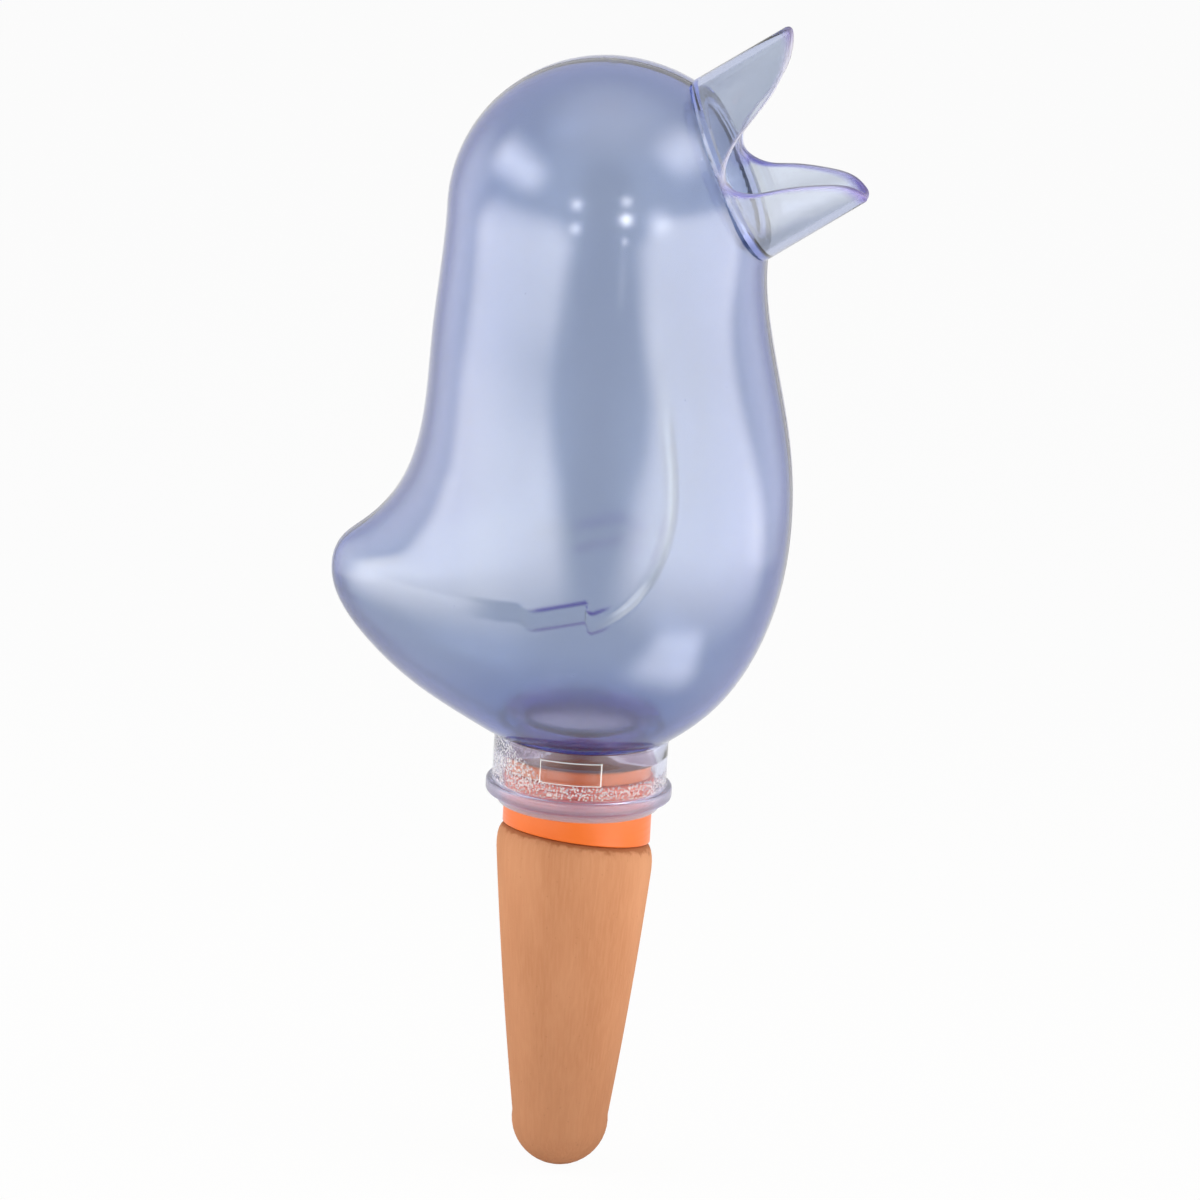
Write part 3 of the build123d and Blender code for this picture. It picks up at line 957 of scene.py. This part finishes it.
def radius_of(tree):
    """Distance of the place on the piece from the spike's axis, in metres."""
    sides = [axis_of(tree, axis) for axis in "XY"]
    squares = [times(tree, side, side) for side in sides]
    return calculate(tree, "POWER", calculate(tree, "ADD", *squares), 0.5)


def rise(tree, axis, low, high):
    """0 below and 1 above two places on an axis of the piece, in millimetres, smooth between."""
    return remap(tree, axis_of(tree, axis), low * MM, high * MM)


def band(tree, axis, low, high, soft):
    """1 between two places on an axis, in millimetres, with soft ends."""
    over_low = rise(tree, axis, low - soft / 2, low + soft / 2)
    over_high = rise(tree, axis, high - soft / 2, high + soft / 2)
    return times(tree, over_low, rest_of(tree, over_high))


def noise(tree, size, stretch=(1, 1, 1), detail=3.0):
    """Cloudy pattern of a size in millimetres, drawn out along the axes by stretch."""
    scale = tree.nodes.new("ShaderNodeMapping")
    set_inputs(scale, Scale=tuple(1 / (size * MM * pull) for pull in stretch))
    tree.links.new(place_on(tree), scale.inputs["Vector"])
    texture = tree.nodes.new("ShaderNodeTexNoise")
    set_inputs(texture, Scale=1.0, Detail=detail)
    tree.links.new(scale.outputs[0], texture.inputs["Vector"])
    return texture.outputs["Fac"]


def specks(tree, spacing, radius):
    """Round specks of a radius, about one in each cube of a spacing, both in millimetres."""
    texture = tree.nodes.new("ShaderNodeTexVoronoi")
    set_inputs(texture, Scale=1 / (spacing * MM))
    tree.links.new(place_on(tree), texture.inputs["Vector"])
    share = radius / spacing
    return remap(tree, texture.outputs["Distance"], SPECK_CORE * share, share, 1.0, 0.0)


def blend(tree, share, first, second):
    """Colour that goes from the first to the second with a share."""
    mix = tree.nodes.new("ShaderNodeMix")
    mix.data_type = "RGBA"
    for name, value in (("A", first), ("B", second)):
        socket = next(item for item in mix.inputs if item.name == name and item.type == "RGBA")
        if isinstance(value, tuple):
            socket.default_value = (*value, 1)
        else:
            tree.links.new(value, socket)
    tree.links.new(share, mix.inputs["Factor"])
    return next(item for item in mix.outputs if item.type == "RGBA")


def bump(tree, shader, height, depth):
    """Fine relief of a depth in millimetres on a shader."""
    relief = tree.nodes.new("ShaderNodeBump")
    set_inputs(relief, Strength=1.0, Distance=depth * MM)
    tree.links.new(height, relief.inputs["Height"])
    tree.links.new(relief.outputs["Normal"], shader.inputs["Normal"])


def absorb(tree, density):
    """Lets light fade to the tint on its way through the thickness of the plastic."""
    depth = tree.nodes.new("ShaderNodeVolumeAbsorption")
    set_inputs(depth, Color=(*TINT, 1), Density=density)
    tree.links.new(depth.outputs[0], tree.nodes["Material Output"].inputs["Volume"])


def paint(tree, shader, **values):
    """Links patterns to a shader's sockets; underscores in a name stand for spaces."""
    for name, value in values.items():
        tree.links.new(value, shader.inputs[name.replace("_", " ")])


def stored_marks(tree):
    """The shares kept on the mesh, as red, green and blue."""
    stored = tree.nodes.new("ShaderNodeAttribute")
    stored.attribute_name = MARKS
    split = tree.nodes.new("ShaderNodeSeparateColor")
    tree.links.new(stored.outputs["Color"], split.inputs[0])
    return [split.outputs[name] for name in ("Red", "Green", "Blue")]


def shell_material():
    """Blue-violet tinted styrene, slightly hazy, with painted shade low on the belly and in the
    feathers' creases, a dark seam line and a few fine specks.
    """
    material, tree, shader = new_material("tinted_styrene")
    set_inputs(shader, IOR=SHELL_IOR)
    crest, foot, seam = stored_marks(tree)
    # Darker towards the bottom: painted shade on the low belly
    tint = blend(tree, rise(tree, "Z", *LOW_SHADE_TINT_Z), LOW_SHADE_TINT, SHELL_TINT)
    # Painted shade along the feathers' feet and crests
    tint = blend(tree, foot, tint, FOOT_SHADE_TINT)
    tint = blend(tree, crest, tint, CREST_SHADE_TINT)
    tint = blend(tree, seam, tint, SEAM_TINT)
    dust = specks(tree, spacing=8.0, radius=0.16)
    haze = vary(tree, noise(tree, size=24.0), *SHELL_HAZE)
    paint(
        tree,
        shader,
        Base_Color=blend(tree, dust, tint, DUST_WHITE),
        Roughness=larger(tree, haze, times(tree, dust, DUST_HAZE)),
        Transmission_Weight=remap(tree, seam, 0.0, 1.0, 1.0, SEAM_CLEAR),
    )
    absorb(tree, SHELL_DENSITY)
    return material


def beak_material():
    """The same styrene, moulded thin: lilac upper rim, blue-violet lower rim and tips, and a paler
    sleeve as a painted highlight.
    """
    material, tree, shader = new_material("beak_styrene")
    set_inputs(shader, IOR=BEAK_IOR)
    rim, tip, sleeve = stored_marks(tree)
    cloud = noise(tree, size=9.0)
    tint = blend(tree, cloud, *BEAK_TINTS)
    edge = blend(tree, rise(tree, "Z", *MOUTH_Z), LOWER_RIM_TINT, UPPER_RIM_TINT)
    tint = blend(tree, rim, tint, edge)
    tint = blend(tree, tip, tint, TIP_COLOUR)
    haze = vary(tree, cloud, *BEAK_HAZE)
    cloudy = larger(tree, times(tree, rim, RIM_CLOUD), tip)
    paint(
        tree,
        shader,
        # Paler sleeve: painted highlight
        Base_Color=blend(tree, sleeve, tint, SLEEVE_HIGHLIGHT_TINT),
        Roughness=larger(tree, haze, times(tree, rim, RIM_HAZE)),
        Transmission_Weight=remap(tree, cloudy, 0.0, 1.0, 1.0, TIP_CLEAR),
    )
    absorb(tree, BEAK_DENSITY)
    return material


def pad_band(tree, margin):
    """1 on the bare pad at the front of the collar, grown by a margin in millimetres."""
    half_width, half_height = PAD_WIDTH / 2 + margin, PAD_HEIGHT / 2 + margin
    across = band(tree, "X", -half_width, half_width, LINE_SOFT)
    upright = band(tree, "Z", PAD_Z - half_height, PAD_Z + half_height, LINE_SOFT)
    front = band(tree, "Y", *PAD_SIDE_Y, LINE_SOFT)
    return times(tree, times(tree, across, upright), front)


def damp_patch(tree):
    """Where the collar is damp: a wedge at the bird's back and a band over the seal."""
    slope = times(tree, axis_of(tree, "Z"), WEDGE_SLOPE)
    lean = calculate(tree, "ADD", axis_of(tree, "X"), slope)
    wedge = remap(tree, lean, WEDGE_X[0] * MM, WEDGE_X[1] * MM, 1.0, 0.0)
    wedge = times(tree, wedge, band(tree, "Z", DAMP_LOW_Z, DAMP_HIGH_Z, soft=0.3))
    over_seal = band(tree, "Z", DAMP_LOW_Z, DAMP_SEAL_Z, soft=0.5)
    return times(tree, larger(tree, wedge, over_seal), rest_of(tree, pad_band(tree, 0.0)))


def droplets(tree):
    """Fine droplets, with a little mist between them, where the collar is damp."""
    drops = larger(tree, specks(tree, *FINE_DROPS), specks(tree, *LARGE_DROPS))
    mist = remap(tree, noise(tree, size=2.4), *MIST_RANGE, *MIST)
    return times(tree, damp_patch(tree), larger(tree, times(tree, drops, DROP_WHITE), mist))


def collar_tint(tree, bead):
    """Clear plastic, deeper with painted shade inside the funnel and spigot and in the fold under
    the bead.
    """
    # Painted shade inside the funnel, bore and spigot
    inside = remap(tree, radius_of(tree), FUNNEL_RADII[0] * MM, FUNNEL_RADII[1] * MM, 1.0, 0.0)
    funnel = times(tree, inside, rise(tree, "Z", *FUNNEL_LOW_Z))
    spigot = rise(tree, "Z", *SPIGOT_SHADE_TINT_Z)
    bore = blend(tree, spigot, FUNNEL_SHADE_TINT, BORE_SHADE_TINT)
    tint = blend(tree, spigot, COLLAR_TINT, SPIGOT_SHADE_TINT)
    tint = blend(tree, funnel, tint, bore)
    tint = blend(tree, bead, tint, BEAD_TINT)
    # Painted shade under the bead
    fold = band(tree, "Z", *FOLD_SHADE_Z, soft=0.3)
    return blend(tree, fold, tint, FOLD_SHADE_TINT)


def collar_material():
    """Clear styrene with a pale pad outline and a painted highlight along the lower rim, frosty with
    droplets where it is damp.
    """
    material, tree, shader = new_material("collar_styrene")
    set_inputs(shader, IOR=COLLAR_IOR)
    frost = droplets(tree)
    outline = calculate(tree, "SUBTRACT", pad_band(tree, PAD_LINE), pad_band(tree, -PAD_LINE))
    pale = larger(tree, times(tree, outline, PAD_LINE_WHITE), frost)
    bead = rest_of(tree, rise(tree, "Z", *BEAD_TOP_Z))
    # Paler band at the lower rim: a painted highlight
    rim_highlight = rest_of(tree, rise(tree, "Z", *RIM_HIGHLIGHT_Z))
    rough = times(tree, larger(tree, frost, times(tree, bead, BEAD_HAZE)), FROST_HAZE)
    cloudy = larger(tree, pale, times(tree, bead, BEAD_CLOUD))
    paint(
        tree,
        shader,
        Base_Color=blend(tree, larger(tree, pale, rim_highlight), collar_tint(tree, bead), FROST_AND_HIGHLIGHT_WHITE),
        Roughness=calculate(tree, "ADD", rough, COLLAR_HAZE),
        Transmission_Weight=remap(tree, cloudy, 0.0, 1.0, 1.0, FROST_CLEAR),
    )
    bump(tree, shader, frost, depth=0.03)
    absorb(tree, COLLAR_DENSITY)
    return material


def seal_material():
    """Soft ribbed rubber with a dusty skin."""
    material, tree, shader = new_material("seal_rubber")
    cloud = noise(tree, size=1.6)
    colour = blend(tree, cloud, *SEAL_COLOURS)
    paint(tree, shader, Base_Color=colour, Roughness=vary(tree, cloud, *SEAL_ROUGHNESS))
    bump(tree, shader, noise(tree, size=0.4), depth=0.04)
    return material


def plug_material():
    """Orange satin plastic with faint turning marks."""
    material, tree, shader = new_material("orange_plastic")
    cloud = noise(tree, size=6.0)
    rings = noise(tree, size=0.5, stretch=(30, 30, 1))
    colour = blend(tree, cloud, *PLUG_COLOURS)
    paint(tree, shader, Base_Color=colour, Roughness=vary(tree, rings, *PLUG_ROUGHNESS))
    bump(tree, shader, rings, depth=0.01)
    return material


def bond_material():
    """Cured brown adhesive, lumpy and half glossy."""
    material, tree, shader = new_material("brown_bond")
    lumps = noise(tree, size=1.2)
    colour = blend(tree, lumps, *BOND_COLOURS)
    paint(tree, shader, Base_Color=colour, Roughness=vary(tree, lumps, *BOND_ROUGHNESS))
    bump(tree, shader, lumps, depth=0.1)
    return material


def clay_material():
    """Unglazed fired clay: cloudy colour, fine upright brush marks, pores, and a dark band round the
    plug's foot that is partly a smear of bond and partly painted shadow.
    """
    material, tree, shader = new_material("fired_clay")
    set_inputs(shader, Specular_IOR_Level=CLAY_SPECULAR)
    cloud = vary(tree, noise(tree, size=12.0, stretch=(1, 1, 3)), 0.0, 1.0)
    brush = noise(tree, size=0.5, stretch=(1, 1, 18), detail=2.0)
    strokes = remap(tree, brush, *STROKE_RANGE)
    pores = specks(tree, spacing=1.9, radius=0.2)
    colour = blend(tree, cloud, *CLAY_COLOURS)
    colour = blend(tree, times(tree, strokes, STROKE_SHARE), colour, STROKE_COLOUR)
    colour = blend(tree, times(tree, pores, PORE_SHARE), colour, PORE_COLOUR)
    # Smear of bond and painted shadow round the plug's foot
    ragged = vary(tree, noise(tree, size=2.2), *(width * MM for width in SMEAR_AND_SHADOW_RAGGED))
    reach = calculate(tree, "ADD", radius_of(tree), ragged)
    smear_and_shadow_end = PLUG_RADIUS + SMEAR_AND_SHADOW_WIDTH
    smear_and_shadow = remap(tree, reach, PLUG_RADIUS * MM, smear_and_shadow_end * MM, SMEAR_AND_SHADOW_SHARE, 0.0)
    smear_and_shadow = times(tree, smear_and_shadow, rise(tree, "Z", *SMEAR_AND_SHADOW_Z))
    colour = blend(tree, smear_and_shadow, colour, SMEAR_AND_SHADOW_COLOUR)
    paint(tree, shader, Base_Color=colour, Roughness=vary(tree, brush, *CLAY_ROUGHNESS))
    bump(tree, shader, calculate(tree, "SUBTRACT", strokes, pores), depth=0.04)
    return material


def build_pieces():
    """Makes every piece and seats it on its body."""
    shell = shell_material()
    dress(half_shell("right_shell", -1), "bird", "tinted_shell", shell, "right_half_shell")
    dress(half_shell("left_shell", 1), "bird", "tinted_shell", shell, "left_half_shell")
    dress(beak_spout(), "bird", "clear_plastic", beak_material(), "beak_spout")
    dress(neck_collar(), "bird", "clear_plastic", collar_material(), "neck_collar")
    dress(seal_ring(), "seal", "seal", seal_material(), "seal_ring")
    dress(lathe("stopper", plug_profile), "spike", "stopper", plug_material(), "plug")
    dress(adhesive_ring(), "spike", "adhesive", bond_material(), "adhesive_ring")
    dress(lathe("clay_spike", clay_profile), "spike", "clay", clay_material(), "clay_cone")


def seen_directly(tree):
    """1 for camera, mirror and glass rays, and 0 for the rays that carry light."""
    path = tree.nodes.new("ShaderNodeLightPath")
    total = path.outputs["Is Camera Ray"]
    for kind in ("Is Glossy Ray", "Is Transmission Ray"):
        total = larger(tree, total, path.outputs[kind])
    return total


def white_surroundings():
    """White seen by camera, mirror and glass rays, and a plain level of light for the rest."""
    world = bpy.data.worlds.new("surroundings")
    bpy.context.scene.world = world
    world.use_nodes = True
    tree = world.node_tree
    background = tree.nodes["Background"]
    set_inputs(background, Color=(1, 1, 1, 1))
    strength = remap(tree, seen_directly(tree), 0.0, 1.0, AMBIENT, 1.0)
    tree.links.new(strength, background.inputs["Strength"])


def floor():
    """Plain pale floor under the spike's tip, which keeps a faint shadow."""
    half = FLOOR_WIDTH / 2
    height = -CLAY_LENGTH - FLOOR_DROP
    sides = [(-half, -half), (half, -half), (half, half), (-half, half)]
    piece = mesh_object("floor", [(x, y, height) for x, y in sides], [(0, 1, 2, 3)])
    material, tree, shader = new_material("pale_floor")
    set_inputs(shader, Base_Color=(*FLOOR_GREY, 1), Roughness=FLOOR_ROUGHNESS)
    white = tree.nodes.new("ShaderNodeEmission")
    mix = tree.nodes.new("ShaderNodeMixShader")
    tree.links.new(times(tree, seen_directly(tree), FLOOR_WHITE), mix.inputs["Fac"])
    tree.links.new(shader.outputs[0], mix.inputs[1])
    tree.links.new(white.outputs[0], mix.inputs[2])
    tree.links.new(mix.outputs[0], tree.nodes["Material Output"].inputs["Surface"])
    piece.data.materials.append(material)


def camera_axes():
    """Right, up and toward-camera directions of the photograph's view."""
    azimuth, elevation = radians(CAMERA_AZIMUTH), radians(CAMERA_ELEVATION)
    roll = radians(CAMERA_ROLL)
    right = Vector((cos(azimuth), sin(azimuth), 0))
    level = cos(elevation)
    toward = Vector((sin(azimuth) * level, -cos(azimuth) * level, sin(elevation)))
    up = toward.cross(right)
    return right * cos(roll) + up * sin(roll), up * cos(roll) - right * sin(roll), toward


def camera():
    """Long lens at the photograph's viewing angle."""
    right, up, toward = camera_axes()
    data = bpy.data.cameras.new("camera")
    data.lens = CAMERA_LENS
    data.sensor_width = SENSOR
    distance = FRAME_WIDTH * MM * CAMERA_LENS / SENSOR
    place = Vector(LOOK_AT) * MM + toward * distance
    turned = Matrix((right, up, toward)).transposed().to_4x4()
    view = bpy.data.objects.new("camera", data)
    view.matrix_world = Matrix.Translation(place) @ turned
    bpy.context.scene.collection.objects.link(view)
    bpy.context.scene.camera = view


def lamp(name, width, tall, fade, level, top_fade=0, colour=LAMP_WHITE):
    """Rectangular light that fades towards its edges, and further down from its top if asked."""
    data = bpy.data.lights.new(name, "AREA")
    data.shape = "RECTANGLE"
    data.size = width * MM
    data.size_y = tall * MM
    data.energy = LAMP_GAIN * level * data.size * data.size_y
    data.color = colour
    data.use_nodes = True
    tree = data.node_tree
    surface = tree.nodes.new("ShaderNodeNewGeometry")
    split = tree.nodes.new("ShaderNodeSeparateXYZ")
    tree.links.new(surface.outputs["Parametric"], split.inputs[0])
    share = 1.0
    for axis, length in (("X", width), ("Y", tall)):
        from_edge = calculate(tree, "PINGPONG", split.outputs[axis], 0.5)
        share = times(tree, share, remap(tree, from_edge, 0.0, min(0.5, fade / length)))
    if top_fade:
        share = times(tree, share, remap(tree, split.outputs["Y"], 1.0, 1 - top_fade / tall))
    tree.links.new(share, tree.nodes["Emission"].inputs["Strength"])
    light = bpy.data.objects.new(name, data)
    light.visible_camera = False
    bpy.context.scene.collection.objects.link(light)
    return light


def place_lamp(light, place, behind):
    """Puts a light at a place in millimetres, with a direction at its back."""
    light.location = place * MM
    light.rotation_euler = behind.to_track_quat("Z", "Y").to_euler()


def softbox(name, azimuth, distance, height, aim, **make):
    """Light at a distance from the spike's axis that faces a height on it."""
    turn = radians(azimuth)
    place = Vector((distance * sin(turn), -distance * cos(turn), height))
    place_lamp(lamp(name, **make), place, (place - Vector((0, 0, aim))).normalized())


def spot(name, right, up, size, level, beam=SPOT_BEAM):
    """Small lamp with a narrow beam on the head, placed by its direction in the photo's view."""
    view_right, view_up, toward = camera_axes()
    depth = (1 - right * right - up * up) ** 0.5
    direction = view_right * right + view_up * up + toward * depth
    glint = Vector((HEAD_X, 0, HEAD_Z)) + HEAD_RADIUS * (direction + toward).normalized()
    light = lamp(name, width=size, tall=size, fade=size / 2, level=level)
    place_lamp(light, glint + direction * SPOT_DISTANCE, direction)
    light.data.spread = radians(beam)
    light.data.energy *= light.data.spread**2 / BEAM_GAIN


def lights():
    """Cards low at the sides and behind, softboxes above, and small lamps in front."""
    card = {"distance": 300, "height": 76, "aim": 398, "width": 570, "tall": 430, "fade": 130}
    softbox("left_card", azimuth=-55, level=2.65, top_fade=250, colour=CARD_WHITE, **card)
    softbox("right_card", azimuth=67, level=2.65, colour=CARD_WHITE, **card)
    rim = {"distance": 420, "height": 100, "aim": 100, "width": 440, "tall": 560, "fade": 200}
    softbox("left_rim", azimuth=-109, level=0.85, **rim)
    softbox("right_rim", azimuth=119, level=0.85, **rim)
    high = {"aim": 100, "fade": 260, "level": 2.8}
    softbox("left_softbox", azimuth=-74, distance=520, height=390, width=760, tall=360, **high)
    softbox("right_softbox", azimuth=81, distance=420, height=560, width=620, tall=460, **high)
    top = {"aim": 100, "width": 1400, "tall": 1400, "fade": 700, "level": 0.9}
    softbox("top_softbox", azimuth=0, distance=60, height=800, **top)
    low = {"aim": 4000, "width": 150, "tall": 150, "fade": 50, "level": 2.1}
    softbox("low_card", azimuth=61, distance=146, height=-60, **low)
    spot("left_upper_spot", right=-0.36, up=0.05, size=34, level=6.0)
    spot("left_lower_spot", right=-0.38, up=-0.25, size=34, level=6.0)
    spot("right_upper_spot", right=0.22, up=0.09, size=28, level=6.0)
    spot("right_middle_spot", right=0.21, up=-0.14, size=34, level=12.0)
    spot("right_lower_spot", right=0.19, up=-0.40, size=12, level=7.0)
    spot("side_spot", right=0.57, up=-0.16, size=70, level=3.6, beam=GLOW_BEAM)


build_pieces()
white_surroundings()
floor()
camera()
lights()

scene = bpy.context.scene
scene.view_settings.view_transform = "Standard"
